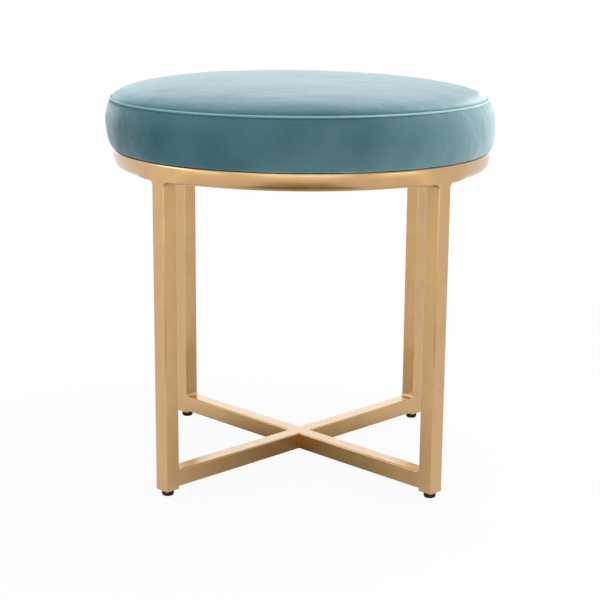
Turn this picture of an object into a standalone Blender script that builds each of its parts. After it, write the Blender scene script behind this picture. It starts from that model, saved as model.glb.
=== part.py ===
"""Round upholstered ottoman on a welded metal frame.

Metres, +Z up. The origin lies on the floor under the centre of the seat, and -Y is the front. Four legs
of square tube stand on the diagonals, an X of stretchers ties their lower ends, and a rolled ring on top
of them carries a padded round seat. Each leg stands on a small glide that screws in and out.
"""

import math

import bmesh
import bpy
from mathutils import Matrix, Vector

# Clearance that neighbouring solids keep
GAP = 0.0003

# Legs, square tube
LEG_SIDE = 0.019
LEG_LENGTH = 0.355
LEG_CORNER = 0.0015
TUBE_WALL = 0.0015
FLOOR_CLEARANCE = 0.007
WELD_FILLET = 0.0055
WELD_RISE = 0.004
WELD_RUN_OUT = math.radians(66)

# Stretchers, tube as wide as the legs
STRETCHER_HEIGHT = 0.020
STRETCHER_RAISE = 0.0030
STRETCHER_FILLET = 0.0035

# Seat ring, rolled tube with a well rounded lower outer edge
RING_RADIUS = 0.2215
RING_WIDTH = 0.019
RING_HEIGHT = 0.020
RING_EDGE = 0.0025
RING_UNDER_EDGE = 0.0065
VENT_DIAMETER = 0.008

# Screw-in glides
FOOT_DIAMETER = 0.014
FOOT_EDGE = 0.0015
FOOT_WALL = 0.0025
FOOT_SOLE = 0.002
STUD_DIAMETER = 0.006
STUD_HEAD_HEIGHT = 0.002
STUD_CHAMFER = 0.0006
GLIDE_TRAVEL = 0.010
PLUG_PLATE = 0.003
PLUG_NUT_WIDTH = 0.010
PLUG_NUT_HEIGHT = 0.006

# Seat fixing
TAB_THICKNESS = 0.003
TAB_WIDTH = 0.026
TAB_REACH = 0.016
SCREW_DIAMETER = 0.006
SCREW_HEAD_DIAMETER = 0.0105
SCREW_HEAD_HEIGHT = 0.0042
SCREW_CHAMFER = 0.0006
WASHER_DIAMETER = 0.0125
WASHER_THICKNESS = 0.0014
TEE_FLANGE_DIAMETER = 0.019
TEE_FLANGE_THICKNESS = 0.0012
TEE_BARREL_WALL = 0.0010
TEE_BARREL_LENGTH = 0.008

# Seat
BOARD_THICKNESS = 0.012
BOARD_INSET = 0.004
COVER_THICKNESS = 0.0012
DUST_COVER_THICKNESS = 0.0006
DUST_COVER_INSET = 0.002
HEM_WIDTH = 0.029
BAND_HEIGHT = 0.058
SWELL_HEIGHT = 0.0331
SWELL_OVERHANG = 0.0067
SEAM_INSET = 0.0015
LIP_INSET = 0.002
CROWN_RISE = 0.0233
WELT_DIAMETER = 0.0028

# Form of the cushion: the angle at which its shoulder meets the seam, and how flat and how
# round the crown is
SHOULDER_ANGLE = math.radians(41)
CROWN_FLATNESS = 3.2
CROWN_ROUNDNESS = 0.56

# Facets of a full turn
RING_FACETS = 64
SEAT_FACETS = 56
FOOT_FACETS = 16
SMALL_FACETS = 12

# Places that follow from the sizes above
LEG_TOP = FLOOR_CLEARANCE + LEG_LENGTH
LEG_CENTRE = RING_RADIUS - LEG_SIDE / 2
LEG_INNER_FACE = RING_RADIUS - LEG_SIDE
TUBE_BORE = LEG_SIDE - 2 * TUBE_WALL
STRETCHER_BOTTOM = FLOOR_CLEARANCE + STRETCHER_RAISE
STRETCHER_TOP = STRETCHER_BOTTOM + STRETCHER_HEIGHT
RING_BOTTOM = LEG_TOP + GAP
RING_TOP = RING_BOTTOM + RING_HEIGHT
RING_INNER = RING_RADIUS - RING_WIDTH
STUD_RADIUS = STUD_DIAMETER / 2
STUD_HEAD_RADIUS = FOOT_DIAMETER / 2 - FOOT_WALL - GAP
STUD_HEAD_BOTTOM = FOOT_SOLE + GAP
STUD_HEAD_TOP = STUD_HEAD_BOTTOM + STUD_HEAD_HEIGHT
FOOT_TOP = FLOOR_CLEARANCE - GAP
PLUG_TOP = FLOOR_CLEARANCE + PLUG_PLATE + PLUG_NUT_HEIGHT
STUD_TOP = PLUG_TOP + GLIDE_TRAVEL
DUST_COVER_TOP = RING_TOP
DUST_COVER_BOTTOM = DUST_COVER_TOP - DUST_COVER_THICKNESS
DUST_COVER_RADIUS = RING_INNER - DUST_COVER_INSET
HEM_BOTTOM = RING_TOP + GAP
HEM_RADIUS = RING_RADIUS - HEM_WIDTH
BOARD_BOTTOM = HEM_BOTTOM + COVER_THICKNESS + GAP
BOARD_TOP = BOARD_BOTTOM + BOARD_THICKNESS
BOARD_RADIUS = RING_RADIUS - BOARD_INSET
TAB_TOP = DUST_COVER_BOTTOM - GAP
TAB_BOTTOM = TAB_TOP - TAB_THICKNESS
SCREW_PITCH_RADIUS = RING_INNER - TAB_REACH
WASHER_TOP = TAB_BOTTOM - GAP
WASHER_BOTTOM = WASHER_TOP - WASHER_THICKNESS
SCREW_HEAD_TOP = WASHER_BOTTOM - GAP
SCREW_RADIUS = SCREW_DIAMETER / 2
SCREW_HOLE = SCREW_RADIUS + GAP
TEE_BARREL_RADIUS = SCREW_HOLE + TEE_BARREL_WALL
TEE_FLANGE_RADIUS = TEE_FLANGE_DIAMETER / 2
TEE_FLANGE_TOP = BOARD_TOP - GAP
TEE_FLANGE_BOTTOM = TEE_FLANGE_TOP - TEE_FLANGE_THICKNESS
TEE_BARREL_BOTTOM = TEE_FLANGE_BOTTOM - TEE_BARREL_LENGTH
SEAM_RADIUS = RING_RADIUS - SEAM_INSET
SEAM_Z = RING_TOP + BAND_HEIGHT
SEAM_HALF = WELT_DIAMETER / 2 + GAP
SWELL_RADIUS = RING_RADIUS + SWELL_OVERHANG
SWELL_Z = RING_TOP + SWELL_HEIGHT
LIP_RADIUS = RING_RADIUS - LIP_INSET
CROWN_Z = SEAM_Z + CROWN_RISE

# How far a cutter runs past the wall that it cuts, and how near points are merged
PAST = 0.002
MERGE = 1e-6
SMOOTH_ANGLE = math.radians(35)

CORNERS = {"back_right": 45, "back_left": 135, "front_left": 225, "front_right": 315}
SIDES = {"right": 0, "back": 90, "left": 180, "front": 270}


def clear_scene():
    for old in list(bpy.data.objects):
        bpy.data.objects.remove(old, do_unlink=True)


def material(name, colour, roughness, metallic):
    made = bpy.data.materials.new(name)
    made.use_nodes = True
    shader = made.node_tree.nodes["Principled BSDF"]
    shader.inputs["Base Color"].default_value = (*colour, 1.0)
    shader.inputs["Roughness"].default_value = roughness
    shader.inputs["Metallic"].default_value = metallic
    return made


def station(name, azimuth):
    """Empty on the origin whose +X points outward at the azimuth, in degrees."""
    empty = bpy.data.objects.new(name, None)
    empty.rotation_euler.z = math.radians(azimuth)
    bpy.context.collection.objects.link(empty)
    return empty


def part(name, mesh, finish, parent=None, location=(0, 0, 0)):
    """Named piece from a mesh, placed under its parent."""
    mesh.materials.clear()
    mesh.materials.append(finish)
    piece = bpy.data.objects.new(name, mesh)
    bpy.context.collection.objects.link(piece)
    piece.parent = parent
    piece.location = location
    return piece


def spread(start, end, steps):
    return [start + (end - start) * step / steps for step in range(steps + 1)]


def arc(centre, radius, start, end, steps):
    """Points of an arc about a centre, with its angles in degrees."""
    return [
        (centre[0] + radius * math.cos(turn), centre[1] + radius * math.sin(turn))
        for turn in spread(math.radians(start), math.radians(end), steps)
    ]


def inset(path, depth):
    """The path moved to its right-hand side by a depth, square to its run."""
    sides = []
    for (r0, z0), (r1, z1) in zip(path, path[1:]):
        length = math.hypot(r1 - r0, z1 - z0)
        sides.append(Vector(((z1 - z0) / length, (r0 - r1) / length)))
    moved = []
    for index, point in enumerate(path):
        before = sides[max(index - 1, 0)]
        after = sides[min(index, len(sides) - 1)]
        middle = (before + after).normalized()
        moved.append(tuple(Vector(point) + middle * (depth / middle.dot(after))))
    return moved


def mesh_from(shape):
    bmesh.ops.remove_doubles(shape, verts=shape.verts, dist=MERGE)
    bmesh.ops.recalc_face_normals(shape, faces=shape.faces)
    mesh = bpy.data.meshes.new("mesh")
    shape.to_mesh(mesh)
    shape.free()
    mesh.shade_smooth()
    mesh.set_sharp_from_angle(angle=SMOOTH_ANGLE)
    return mesh


def turned(outline, facets):
    """Outline in the (radius, height) half-plane turned about Z.

    It is closed, unless it starts and ends on the axis.
    """
    shape = bmesh.new()
    points = [shape.verts.new((radius, 0, height)) for radius, height in outline]
    edges = [shape.edges.new(pair) for pair in zip(points, points[1:])]
    if outline[0][0] > MERGE or outline[-1][0] > MERGE:
        edges.append(shape.edges.new((points[-1], points[0])))
    bmesh.ops.spin(
        shape, geom=points + edges, axis=(0, 0, 1), cent=(0, 0, 0), angle=math.tau, steps=facets
    )
    return mesh_from(shape)


def extruded(outline, run):
    """Flat outline of 3-D points pushed along a vector."""
    shape = bmesh.new()
    face = shape.faces.new([shape.verts.new(point) for point in outline])
    pushed = bmesh.ops.extrude_face_region(shape, geom=[face])["geom"]
    moved = [item for item in pushed if isinstance(item, bmesh.types.BMVert)]
    bmesh.ops.translate(shape, verts=moved, vec=run)
    return mesh_from(shape)


def lofted(sections):
    """Solid through closed sections of as many 3-D points each."""
    shape = bmesh.new()
    loops = [[shape.verts.new(point) for point in section] for section in sections]
    for low, high in zip(loops, loops[1:]):
        for index in range(len(low)):
            after = (index + 1) % len(low)
            shape.faces.new((low[index], low[after], high[after], high[index]))
    shape.faces.new(loops[0])
    shape.faces.new(loops[-1])
    return mesh_from(shape)


def carved(mesh, joins=(), cuts=()):
    """The mesh with others joined to it, and then others cut from it, where they stand."""
    meshes = [mesh, *joins, *cuts]
    blocks = [bpy.data.objects.new("block", item) for item in meshes]
    for index, block in enumerate(blocks):
        bpy.context.collection.objects.link(block)
        if index:
            boolean = blocks[0].modifiers.new("boolean", "BOOLEAN")
            boolean.operation = "UNION" if index <= len(joins) else "DIFFERENCE"
            boolean.object = block
    bpy.context.view_layer.update()
    graph = bpy.context.evaluated_depsgraph_get()
    result = bpy.data.meshes.new_from_object(blocks[0].evaluated_get(graph))
    for block in blocks:
        bpy.data.objects.remove(block)
    result.shade_smooth()
    result.set_sharp_from_angle(angle=SMOOTH_ANGLE)
    return result


def disc(radius, low, high, facets):
    """Upright cylinder on the axis, between two heights."""
    rim = arc((0, 0), radius, 0, 360, facets)[:-1]
    return extruded([(x, y, low) for x, y in rim], (0, 0, high - low))


def peg(radius, low, high, reach=0.0, azimuth=0.0):
    """Upright cylinder at a distance from the axis, for a hole."""
    mesh = disc(radius, low, high, SMALL_FACETS)
    turn = Matrix.Rotation(math.radians(azimuth), 4, "Z")
    mesh.transform(turn @ Matrix.Translation((reach, 0, 0)))
    return mesh


def rounded_rectangle(width, depth, radius, steps):
    """Points of a rectangle about the origin with round corners."""
    points = []
    for across, along, start in ((1, 1, 0), (-1, 1, 90), (-1, -1, 180), (1, -1, 270)):
        centre = (across * (width / 2 - radius), along * (depth / 2 - radius))
        points += arc(centre, radius, start, start + 90, steps)
    return points


def ring_outline(grow=0.0):
    """Section of the seat ring, or of the room that it needs in a neighbour."""
    outer, inner = RING_RADIUS + grow, RING_INNER - grow
    low, high = RING_BOTTOM - grow, RING_TOP + grow
    edge, under = RING_EDGE + grow, RING_UNDER_EDGE + grow
    outline = arc((outer - edge, high - edge), edge, 90, 0, 2)
    outline += arc((outer - under, low + under), under, 0, -90, 5)
    outline += arc((inner + edge, low + edge), edge, -90, -180, 1)
    outline += arc((inner + edge, high - edge), edge, 180, 90, 1)
    return outline


def ring_bore_outline():
    """Hollow of the rolled tube."""
    outer, inner = RING_RADIUS - TUBE_WALL, RING_INNER + TUBE_WALL
    low, high = RING_BOTTOM + TUBE_WALL, RING_TOP - TUBE_WALL
    under = max(RING_UNDER_EDGE - TUBE_WALL, TUBE_WALL)
    outline = [(inner, high), (outer, high)]
    outline += arc((outer - under, low + under), under, 0, -90, 2)
    outline.append((inner, low))
    return outline


def seat_ring(metal):
    """Tube rolled to a hoop, vented into each leg so that no air is shut in."""
    vents = [
        peg(VENT_DIAMETER / 2, RING_BOTTOM - PAST, RING_BOTTOM + TUBE_WALL + PAST, LEG_CENTRE, azimuth)
        for azimuth in CORNERS.values()
    ]
    bore = turned(ring_bore_outline(), RING_FACETS)
    part("seat_ring", carved(turned(ring_outline(), RING_FACETS), cuts=[bore, *vents]), metal)


def weld_fillet(side):
    """Weld in the corner between a leg's flank and the ring, dressed hollow and flush with the outer face.

    Its outer edge is as round as the leg's where the hollow leaves the flank, and nearly as round as the
    ring's lower edge where it runs out.
    """
    sunk = LEG_CORNER + GAP
    centre = (LEG_SIDE / 2 + WELD_FILLET, RING_BOTTOM - WELD_FILLET)
    inner = RING_INNER + LEG_CORNER
    sections = []
    for turn in spread(0, WELD_RUN_OUT, 5):
        across, up = math.cos(turn), max(math.sin(turn), MERGE)
        to_flank, to_face = (WELD_FILLET + sunk) / across, (WELD_FILLET + WELD_RISE) / up
        depth = min(to_flank, to_face) - WELD_FILLET
        edge = min(LEG_CORNER + (RING_UNDER_EDGE - LEG_CORNER) * turn / (math.pi / 2), depth - GAP)
        section = []
        for sink, back in [*arc((edge, edge), edge, 180, 270, 3), (depth, 0)]:
            y, z = centre[0] - (WELD_FILLET + sink) * across, centre[1] + (WELD_FILLET + sink) * up
            section.append((math.sqrt(RING_RADIUS**2 - y**2) - back, side * y, z))
        for sink in (depth, 0):
            y, z = centre[0] - (WELD_FILLET + sink) * across, centre[1] + (WELD_FILLET + sink) * up
            section.append((inner, side * y, z))
        sections.append(section)
    return lofted(sections)


def leg_mesh():
    """Tube coped round the ring's lower edge, with its welds dressed to fillets."""
    section = rounded_rectangle(LEG_SIDE, LEG_SIDE, LEG_CORNER, 2)
    weld_top = RING_BOTTOM + WELD_RISE
    tube = extruded(
        [(LEG_CENTRE + x, y, FLOOR_CLEARANCE) for x, y in section],
        (0, 0, weld_top - FLOOR_CLEARANCE),
    )
    square = rounded_rectangle(TUBE_BORE, TUBE_BORE, GAP, 1)
    bore = extruded(
        [(LEG_CENTRE + x, y, FLOOR_CLEARANCE - PAST) for x, y in square],
        (0, 0, weld_top + 2 * PAST - FLOOR_CLEARANCE),
    )
    cope = turned(ring_outline(GAP), RING_FACETS)
    return carved(tube, joins=[weld_fillet(1), weld_fillet(-1)], cuts=[cope, bore])


def stretcher_mesh(start, end, fillet_at_start):
    """Tube along X between two faces, with its upper edge filleted up the leg that it meets."""
    low, high, size = STRETCHER_BOTTOM, STRETCHER_TOP, STRETCHER_FILLET
    side = [(start, low), (end, low), *arc((end - size, high + size), size, 0, -90, 3)]
    if fillet_at_start:
        side += arc((start + size, high + size), size, -90, -180, 3)
    else:
        side.append((start, high))
    half = LEG_SIDE / 2
    tube = extruded([(x, -half, z) for x, z in side], (0, LEG_SIDE, 0))
    shape = bmesh.new()
    shape.from_mesh(tube)
    long_edges = [edge for edge in shape.edges if runs_along(edge, half)]
    bmesh.ops.bevel(
        shape, geom=long_edges, offset=LEG_CORNER, offset_type="OFFSET", segments=2, profile=0.5,
        affect="EDGES",
    )
    middle, inner_height = (low + high) / 2, STRETCHER_HEIGHT - 2 * TUBE_WALL
    opening = rounded_rectangle(TUBE_BORE, inner_height, GAP, 1)
    bore = extruded(
        [(start - PAST, y, middle + z) for y, z in opening], (end - start + 2 * PAST, 0, 0)
    )
    return carved(mesh_from(shape), cuts=[bore])


def runs_along(edge, half):
    """Whether an edge of a stretcher lies along one of its flanks, and isn't part of an end face."""
    first, second = (vert.co for vert in edge.verts)
    on_flank = abs(first.y - second.y) < MERGE and abs(abs(first.y) - half) < MERGE
    return on_flank and abs(first.x - second.x) > MERGE


def stretchers(metal, corners):
    """One tube from leg to leg, and two halves that butt against its flanks."""
    reach = LEG_INNER_FACE - GAP
    part("stretcher_long", stretcher_mesh(-reach, reach, True), metal, corners["back_right"])
    half = stretcher_mesh(LEG_SIDE / 2 + GAP, reach, False)
    part("stretcher_half_left", half, metal, corners["back_left"])
    part("stretcher_half_right", half, metal, corners["front_right"])


def plug_mesh():
    """Plate that closes a leg's end, with the nut that the glide's stud turns in."""
    side = TUBE_BORE - 2 * GAP
    plate = extruded(
        [(x, y, FLOOR_CLEARANCE) for x, y in rounded_rectangle(side, side, 2 * GAP, 1)],
        (0, 0, PLUG_PLATE),
    )
    nut_outline = arc((0, 0), PLUG_NUT_WIDTH / math.sqrt(3), 0, 300, 5)
    nut_bottom = FLOOR_CLEARANCE + PLUG_PLATE / 2
    nut = extruded([(x, y, nut_bottom) for x, y in nut_outline], (0, 0, PLUG_TOP - nut_bottom))
    bore = peg(STUD_RADIUS + GAP, FLOOR_CLEARANCE - PAST, PLUG_TOP + PAST)
    return carved(plate, joins=[nut], cuts=[bore])


def foot_mesh():
    """Round pad with a socket for the stud's head."""
    radius = FOOT_DIAMETER / 2
    neck, socket = STUD_RADIUS + GAP, STUD_HEAD_RADIUS + GAP
    socket_top = STUD_HEAD_TOP + GAP
    outline = [(0, 0)]
    outline += arc((radius - FOOT_EDGE, FOOT_EDGE), FOOT_EDGE, -90, 0, 3)
    outline += [(radius, FOOT_TOP), (neck, FOOT_TOP), (neck, socket_top), (socket, socket_top)]
    outline += [(socket, FOOT_SOLE), (0, FOOT_SOLE)]
    return turned(outline, FOOT_FACETS)


def stud_mesh():
    """Threaded stud, drawn at its outside diameter, with the flat head that the pad turns on."""
    outline = [
        (0, STUD_TOP),
        (STUD_RADIUS - STUD_CHAMFER, STUD_TOP),
        (STUD_RADIUS, STUD_TOP - STUD_CHAMFER),
        (STUD_RADIUS, STUD_HEAD_TOP),
        (STUD_HEAD_RADIUS, STUD_HEAD_TOP),
        (STUD_HEAD_RADIUS, STUD_HEAD_BOTTOM),
        (0, STUD_HEAD_BOTTOM),
    ]
    return turned(outline, SMALL_FACETS)


def legs_and_glides(metal, steel, rubber, corners):
    leg, plug, foot, stud = leg_mesh(), plug_mesh(), foot_mesh(), stud_mesh()
    on_axis = (LEG_CENTRE, 0, 0)
    for corner, empty in corners.items():
        part(f"leg_{corner}", leg, metal, empty)
        part(f"leg_plug_{corner}", plug, steel, empty, on_axis)
        part(f"glide_foot_{corner}", foot, rubber, empty, on_axis)
        part(f"glide_stud_{corner}", stud, steel, empty, on_axis)


def tab_mesh():
    """Plate welded inside the ring, round at its free end, with the hole for a seat screw."""
    half = TAB_WIDTH / 2
    buried = RING_INNER + RING_WIDTH / 2
    outline = [(buried, half), *arc((SCREW_PITCH_RADIUS, 0), half, 90, 270, 6), (buried, -half)]
    plate = extruded([(x, y, TAB_BOTTOM) for x, y in outline], (0, 0, TAB_THICKNESS))
    hole = peg(SCREW_HOLE, TAB_BOTTOM - PAST, TAB_TOP + PAST, SCREW_PITCH_RADIUS)
    return carved(plate, cuts=[turned(ring_outline(GAP), RING_FACETS), hole])


def screw_mesh():
    """Seat screw with a low rounded head, its tip just short of the tee nut's top."""
    tip = TEE_FLANGE_TOP - GAP
    head = SCREW_HEAD_DIAMETER / 2
    head_bottom = SCREW_HEAD_TOP - SCREW_HEAD_HEIGHT
    outline = [
        (0, tip),
        (SCREW_RADIUS - SCREW_CHAMFER, tip),
        (SCREW_RADIUS, tip - SCREW_CHAMFER),
        (SCREW_RADIUS, SCREW_HEAD_TOP),
        (head, SCREW_HEAD_TOP),
        (head, SCREW_HEAD_TOP - SCREW_HEAD_HEIGHT / 3),
        (head * 2 / 3, head_bottom),
        (0, head_bottom),
    ]
    return turned(outline, SMALL_FACETS)


def washer_mesh():
    outer = WASHER_DIAMETER / 2
    outline = [(SCREW_HOLE, WASHER_TOP), (outer, WASHER_TOP)]
    outline += [(outer, WASHER_BOTTOM), (SCREW_HOLE, WASHER_BOTTOM)]
    return turned(outline, SMALL_FACETS)


def tee_nut_mesh():
    """Flanged nut let into the top of the board."""
    outline = [
        (SCREW_HOLE, TEE_FLANGE_TOP),
        (TEE_FLANGE_RADIUS, TEE_FLANGE_TOP),
        (TEE_FLANGE_RADIUS, TEE_FLANGE_BOTTOM),
        (TEE_BARREL_RADIUS, TEE_FLANGE_BOTTOM),
        (TEE_BARREL_RADIUS, TEE_BARREL_BOTTOM),
        (SCREW_HOLE, TEE_BARREL_BOTTOM),
    ]
    return turned(outline, SMALL_FACETS)


def seat_fixings(metal, steel, sides):
    tab, screw, washer, nut = tab_mesh(), screw_mesh(), washer_mesh(), tee_nut_mesh()
    at_hole = (SCREW_PITCH_RADIUS, 0, 0)
    for side, empty in sides.items():
        part(f"seat_tab_{side}", tab, metal, empty)
        part(f"seat_screw_{side}", screw, steel, empty, at_hole)
        part(f"washer_{side}", washer, steel, empty, at_hole)
        part(f"tee_nut_{side}", nut, steel, empty, at_hole)


def top_path():
    """Outside of the top panel, from the crown out to the welt."""
    slant = SEAM_HALF * math.sqrt(0.5)
    edge_radius, edge_z = SEAM_RADIUS - slant, SEAM_Z + slant
    path = []
    for turn in spread(0, math.pi / 2, 8):
        share = math.sin(turn)
        fall = max(1 - share**CROWN_FLATNESS, 0)
        path.append((edge_radius * share, edge_z + (CROWN_Z - edge_z) * fall**CROWN_ROUNDNESS))
    return path


def band_path():
    """Outside of the side band, from the welt over its swell to the edge that is tucked in on the ring."""
    reach = (SWELL_RADIUS - SEAM_RADIUS) / (1 - math.sin(SHOULDER_ANGLE))
    rise = (SEAM_Z - SWELL_Z) / math.cos(SHOULDER_ANGLE)
    pace = math.hypot(reach * math.cos(SHOULDER_ANGLE), rise * math.sin(SHOULDER_ANGLE))
    path = []
    for turn in spread(SHOULDER_ANGLE + SEAM_HALF / pace, math.pi / 2, 3):
        path.append((SWELL_RADIUS - reach * (1 - math.sin(turn)), SWELL_Z + rise * math.cos(turn)))
    for turn in spread(0, math.pi / 2, 4)[1:]:
        out = (SWELL_RADIUS - LIP_RADIUS) * math.cos(turn)
        path.append((LIP_RADIUS + out, SWELL_Z - (SWELL_Z - HEM_BOTTOM) * math.sin(turn)))
    return path


def cover(velvet):
    """Velvet cover: a crowned top panel and a side band, sewn together with a thin welt."""
    panel = top_path()
    lining = inset(panel, COVER_THICKNESS)
    lining[0] = (0, lining[0][1])
    part("top_panel", turned(panel + lining[::-1], SEAT_FACETS), velvet)

    band = [*band_path(), (HEM_RADIUS, HEM_BOTTOM)]
    outline = band + inset(band, COVER_THICKNESS)[::-1]
    part("side_band", turned(outline, SEAT_FACETS), velvet)

    cord = arc((SEAM_RADIUS, SEAM_Z), WELT_DIAMETER / 2, 360, 60, 5)
    part("seam_welt", turned(cord, SEAT_FACETS), velvet)


def padding(foam):
    """Foam that fills the cover and is drawn down round the edge of the board."""
    depth = COVER_THICKNESS + GAP
    crown = inset(top_path(), depth)
    crown[0] = (0, crown[0][1])
    flank = inset(band_path(), depth)[:-1]
    edge = BOARD_RADIUS + GAP
    seat = BOARD_TOP + GAP
    outline = crown + flank + [(edge, flank[-1][1]), (edge, seat), (0, seat)]
    part("seat_foam", turned(outline, SEAT_FACETS), foam)


def board(ply):
    """Plywood disc, drilled and counterbored for the tee nuts."""
    blank = disc(BOARD_RADIUS, BOARD_BOTTOM, BOARD_TOP, SEAT_FACETS)
    cuts = []
    for azimuth in SIDES.values():
        place = (SCREW_PITCH_RADIUS, azimuth)
        cuts.append(peg(TEE_BARREL_RADIUS + GAP, BOARD_BOTTOM - PAST, BOARD_TOP + PAST, *place))
        cuts.append(peg(TEE_FLANGE_RADIUS + GAP, TEE_FLANGE_BOTTOM - GAP, BOARD_TOP + PAST, *place))
    part("seat_board", carved(blank, cuts=cuts), ply)


def dust_cover(cloth):
    """Thin black cloth closed over the underside, inside the ring."""
    low, high = DUST_COVER_BOTTOM, DUST_COVER_TOP
    sheet = disc(DUST_COVER_RADIUS, low, high, SEAT_FACETS)
    holes = [
        peg(SCREW_HOLE, low - PAST, high + PAST, SCREW_PITCH_RADIUS, azimuth)
        for azimuth in SIDES.values()
    ]
    part("dust_cover", carved(sheet, cuts=holes), cloth)


def build():
    clear_scene()
    metal = material("satin_brass", (0.60, 0.38, 0.17), 0.38, 1.0)
    steel = material("zinc_steel", (0.55, 0.55, 0.56), 0.35, 1.0)
    rubber = material("black_nylon", (0.012, 0.012, 0.013), 0.55, 0.0)
    velvet = material("teal_velvet", (0.16, 0.30, 0.33), 0.85, 0.0)
    foam = material("cream_foam", (0.80, 0.72, 0.50), 0.95, 0.0)
    ply = material("birch_plywood", (0.62, 0.45, 0.27), 0.75, 0.0)
    cloth = material("black_cloth", (0.015, 0.015, 0.016), 0.95, 0.0)
    corners = {name: station(f"corner_{name}", turn) for name, turn in CORNERS.items()}
    sides = {name: station(f"side_{name}", turn) for name, turn in SIDES.items()}
    legs_and_glides(metal, steel, rubber, corners)
    stretchers(metal, corners)
    seat_ring(metal)
    seat_fixings(metal, steel, sides)
    board(ply)
    padding(foam)
    cover(velvet)
    dust_cover(cloth)


build()
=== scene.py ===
import math

import bmesh
import bpy
import numpy as np
from mathutils import Matrix, Vector, noise


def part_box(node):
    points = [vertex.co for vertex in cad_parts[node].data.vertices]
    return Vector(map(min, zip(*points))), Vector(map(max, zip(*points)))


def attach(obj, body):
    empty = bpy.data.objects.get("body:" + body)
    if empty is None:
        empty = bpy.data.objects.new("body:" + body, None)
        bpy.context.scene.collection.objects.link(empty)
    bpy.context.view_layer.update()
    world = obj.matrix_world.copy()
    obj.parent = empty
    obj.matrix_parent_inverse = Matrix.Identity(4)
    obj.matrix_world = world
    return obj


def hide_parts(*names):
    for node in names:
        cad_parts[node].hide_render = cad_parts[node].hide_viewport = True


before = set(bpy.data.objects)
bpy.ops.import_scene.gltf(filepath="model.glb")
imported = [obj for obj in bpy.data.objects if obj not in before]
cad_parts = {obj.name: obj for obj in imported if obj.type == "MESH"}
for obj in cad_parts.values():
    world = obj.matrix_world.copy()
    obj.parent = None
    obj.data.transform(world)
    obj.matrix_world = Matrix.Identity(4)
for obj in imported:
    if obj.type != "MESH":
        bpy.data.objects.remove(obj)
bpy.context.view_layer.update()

# Legs: four lengths of 19 mm square steel tube on the diagonals, plated in satin brass and lacquered. Each is
# coped under the seat ring and welded there, and the weld is dressed hollow and flush with the outer face.
CORNERS = {"back_right": 45, "back_left": 135, "front_left": 225, "front_right": 315}
LEG_SIDE = 0.019
LEG_CORNER = 0.0015
LEG_END_ROUND = 0.0007
TUBE_WALL = 0.0015
BORE_DEPTH = 0.040
BORE_CORNER = 0.0003
RING_LOW, RING_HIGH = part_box("seat_ring")
RING_RADIUS = RING_HIGH.x
RING_WIDTH = 0.019
RING_EDGE = 0.0025
RING_LEG_EDGE = 0.0018
LEG_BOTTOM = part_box("leg_front_left")[0].z
LEG_TOP = RING_LOW.z + RING_LEG_EDGE
LEG_CENTRE = RING_RADIUS - LEG_SIDE / 2
WELD_HOLLOW = 0.0055
WELD_STEPS = 18
WELD_EDGE_STEPS = 8
WELD_SINK = 0.001
SKIN = 0.00001
TINY = 1e-6
FLAT_EASE = 0.0004
NOISE_LOW, NOISE_HIGH = 0.3, 0.7


def arc(centre, radius, start, end, steps):
    """Points of an arc, with its angles in degrees."""
    turns = np.radians(np.linspace(start, end, steps + 1))
    return [(centre[0] + radius * math.cos(t), centre[1] + radius * math.sin(t)) for t in turns]


def rounded_rectangle(width, height, radius, steps=5):
    """Outline about the origin. A point beside each round corner keeps the flats flat when shaded."""
    points = []
    for across, up, start in ((1, 1, 0), (-1, 1, 90), (-1, -1, 180), (1, -1, 270)):
        centre = (across * (width / 2 - radius), up * (height / 2 - radius))
        corner = arc(centre, radius, start, start + 90, steps)
        run = Vector((-math.sin(math.radians(start)), math.cos(math.radians(start))))
        leave = Vector((-run.y, run.x))
        points.append(tuple(Vector(corner[0]) - run * FLAT_EASE))
        points += corner
        points.append(tuple(Vector(corner[-1]) + leave * FLAT_EASE))
    return points


def bridged(shape, rows, spans=None):
    """Faces between each row of points and the next, all the way round unless fewer spans are asked for."""
    for row, after in zip(rows, rows[1:]):
        for index in range(spans or len(row)):
            other = (index + 1) % len(row)
            shape.faces.new((row[index], after[index], after[other], row[other]))


def skinned(loops):
    """Closed shape through loops of as many points each."""
    shape = bmesh.new()
    rows = [[shape.verts.new(point) for point in loop] for loop in loops]
    bridged(shape, rows)
    shape.faces.new(rows[0])
    shape.faces.new(rows[-1])
    return shape


def finished(shape, name, sharp=35):
    """Mesh of a shape, with its faces outward and smooth up to an angle in degrees."""
    bmesh.ops.remove_doubles(shape, verts=shape.verts, dist=1e-7)
    bmesh.ops.dissolve_degenerate(shape, edges=shape.edges, dist=1e-8)
    bmesh.ops.recalc_face_normals(shape, faces=shape.faces)
    mesh = bpy.data.meshes.new(name)
    shape.to_mesh(mesh)
    shape.free()
    mesh.shade_smooth()
    mesh.set_sharp_from_angle(angle=math.radians(sharp))
    return mesh


def together(name, *meshes):
    """One mesh that holds several, where they stand."""
    shape = bmesh.new()
    for mesh in meshes:
        shape.from_mesh(mesh)
    joined = bpy.data.meshes.new(name)
    shape.to_mesh(joined)
    shape.free()
    return joined


def placed(name, mesh, finish, body, slot, *nodes):
    """A finished mesh in the scene, on its body, standing for its CAD nodes."""
    mesh.materials.clear()
    mesh.materials.append(finish)
    piece = bpy.data.objects.new(name, mesh)
    bpy.context.scene.collection.objects.link(piece)
    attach(piece, body)
    if nodes:
        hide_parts(*nodes)
    return piece


def node_group(name, inputs, outputs):
    """Empty shader group with named sockets, and its two ends."""
    group = bpy.data.node_groups.new(name, "ShaderNodeTree")
    for label, kind, value in inputs:
        group.interface.new_socket(label, in_out="INPUT", socket_type=kind).default_value = value
    for label, kind in outputs:
        group.interface.new_socket(label, in_out="OUTPUT", socket_type=kind)
    return group, group.nodes.new("NodeGroupInput"), group.nodes.new("NodeGroupOutput")


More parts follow.
